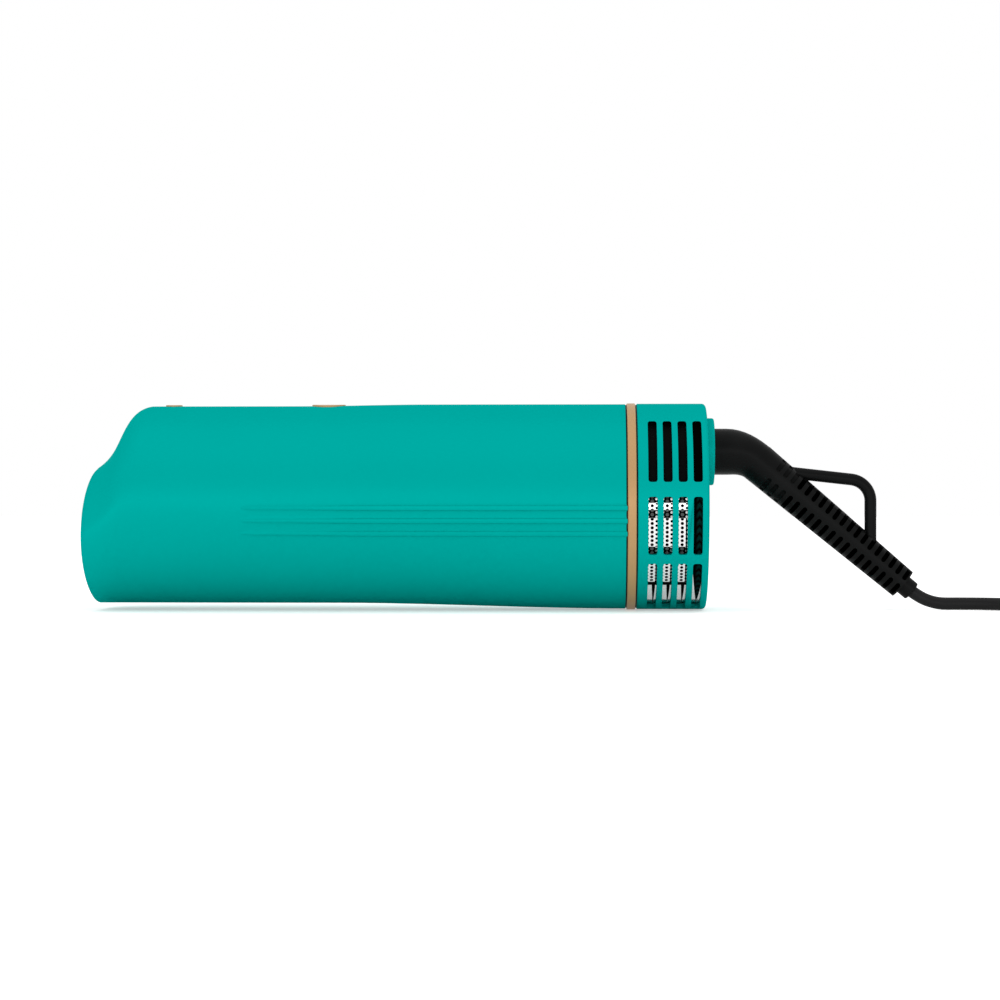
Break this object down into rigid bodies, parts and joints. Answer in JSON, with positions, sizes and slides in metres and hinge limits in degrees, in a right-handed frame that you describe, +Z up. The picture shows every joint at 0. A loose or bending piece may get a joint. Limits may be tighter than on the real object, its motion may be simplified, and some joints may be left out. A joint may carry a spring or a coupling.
{
  "type": "pet dryer",
  "caption": "Hand-held tubular pet dryer with an oval mouth, side grip ribs, a slotted intake cap, two push buttons, and an elbowed cord boot with a hanging loop.",
  "frame": {"origin": "on the bench under the middle of the dryer's own length, from the mouth to the sheath of the cord boot", "axes": "+X from the mouth to the cord boot, +Z up from the bench to the buttons, +Y to the right as seen from the cord's end"},
  "size_m": [0.4952, 0.1438, 0.0868],
  "materials": {
    "shell": "satin teal lacquer over moulded plastic",
    "trim": "satin champagne gold lacquer",
    "black_plastic": "matt black",
    "black_rubber": "matt black",
    "boot_rubber": "satin black",
    "cord_jacket": "satin black",
    "lead_insulation": "satin",
    "plug_rubber": "satin black",
    "tie_plastic": "matt black",
    "pin_metal": "nickel-plated brass",
    "mesh_steel": "perforated sheet",
    "motor_steel": "brushed",
    "winding_copper": "enamelled copper and iron",
    "heater_wire": "resistance wire",
    "mica": "mica sheet",
    "circuit_board": "solder resist"
  },
  "bodies": {
    "dryer": {"main_shell": "shell", "trim_ring": "trim", "rear_cap": "shell", "cord_boss": "shell", "coupling_sleeve": "black_plastic", "filter_mesh": "mesh_steel", "upper_liner": "black_plastic", "filter_frame": "black_plastic", "inlet_bell": "black_plastic", "motor_duct": "black_plastic", "front_mount_ring": "black_rubber", "rear_mount_ring": "black_rubber", "motor_can": "motor_steel", "stator_stack": "winding_copper", "front_bearing": "motor_steel", "rear_bearing": "motor_steel", "heater_sleeve": "mica", "heater_boards": "mica", "heater_winding": "heater_wire", "thermostat": "motor_steel", "outlet_grille": "black_plastic", "nozzle_duct": "black_plastic", "switch_board": "circuit_board", "switch_bodies": "black_plastic", "control_board": "circuit_board", "cord_clamp": "black_plastic", "clamp_screws": "motor_steel", "power_leads": "lead_insulation", "cord_tail": "cord_jacket", "cord_boot": "boot_rubber", "cord_sheath": "boot_rubber", "cord": "cord_jacket", "cord_coil": "cord_jacket", "plug_lead": "cord_jacket", "coil_tie": "tie_plastic", "plug_body": "plug_rubber", "plug_pins": "pin_metal"},
    "rotor": {"motor_shaft": "motor_steel", "rotor_core": "winding_copper", "impeller": "black_plastic"},
    "power_button": {"power_button": "trim", "power_plunger": "black_plastic"},
    "mode_button": {"mode_button": "trim", "mode_plunger": "black_plastic"}
  },
  "joints": [
    {"name": "rotor_spin", "type": "hinge", "parent": "dryer", "child": "rotor", "pos_m": [0, 0, 0.0394], "axis": [1, 0, 0], "continuous": true},
    {"name": "power_button_press", "type": "slide", "parent": "dryer", "child": "power_button", "axis": [0, 0, -1], "range_m": [0, 0.0005], "stiffness_N_per_m": 800},
    {"name": "mode_button_press", "type": "slide", "parent": "dryer", "child": "mode_button", "axis": [0, 0, -1], "range_m": [0, 0.0005], "stiffness_N_per_m": 800}
  ]
}
